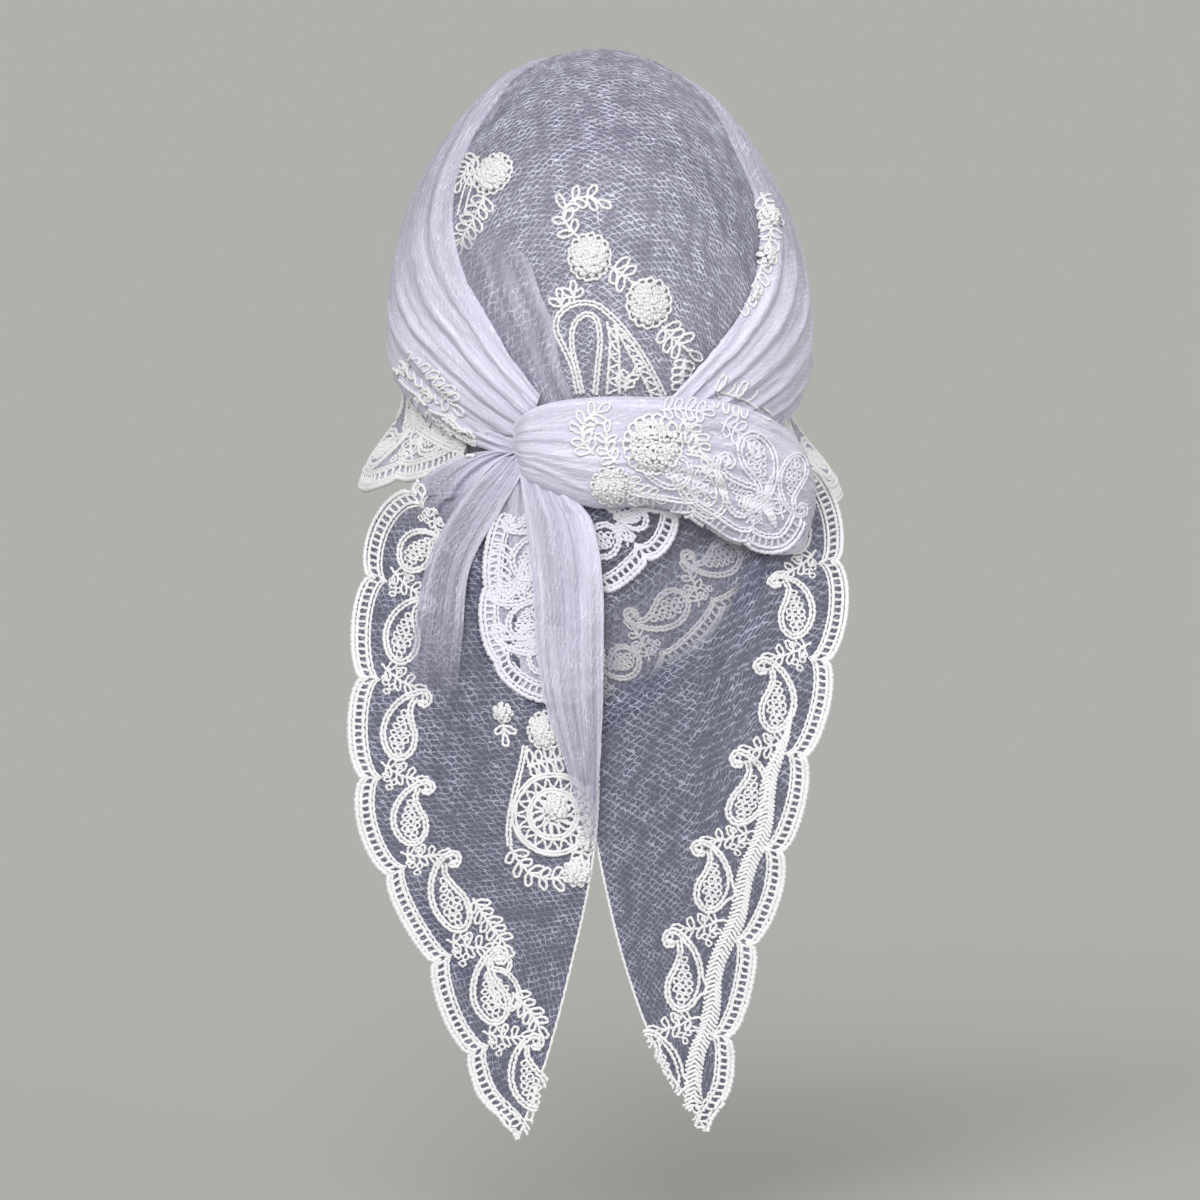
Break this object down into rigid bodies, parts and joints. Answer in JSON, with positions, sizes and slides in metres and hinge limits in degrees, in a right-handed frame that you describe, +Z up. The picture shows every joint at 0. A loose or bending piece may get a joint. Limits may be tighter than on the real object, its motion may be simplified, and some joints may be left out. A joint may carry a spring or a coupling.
{
  "type": "lace bandana",
  "caption": "Worn triangular lace kerchief: hollow net crown, gathered side rolls, a knot at the nape, two hanging scalloped tails and a back corner.",
  "frame": {"origin": "inside of the crown's top, where the wearer's head holds the cloth up", "axes": "+Z up; -Y towards the back of the head, where the knot and the tails are; +Y towards the open face side; +X to the right of someone who looks at the back"},
  "size_m": [0.2324, 0.21, 0.5064],
  "materials": {
    "crinkled_net": "sheer crinkled net, white with a lavender tint, matte with a soft sheen",
    "gathered_net": "several gathered layers of the same net, milky lavender white",
    "embroidered_lace": "white chain-stitch embroidery on net, matte thread"
  },
  "bodies": {
    "root": {"crown_panel": "crinkled_net", "left_roll": "gathered_net", "right_roll": "gathered_net", "left_ear_flap": "embroidered_lace", "right_ear_flap": "embroidered_lace", "knot_wrap": "gathered_net", "centre_fold": "gathered_net", "left_tail": "crinkled_net", "left_tail_lace": "embroidered_lace", "right_tail": "crinkled_net", "right_tail_lace": "embroidered_lace", "back_corner": "crinkled_net", "back_corner_lace": "embroidered_lace", "rosette_crown_left": "embroidered_lace", "rosette_crown_middle": "embroidered_lace", "rosette_crown_right": "embroidered_lace", "rosette_knot_large": "embroidered_lace", "rosette_knot_small": "embroidered_lace"}
  },
  "joints": []
}
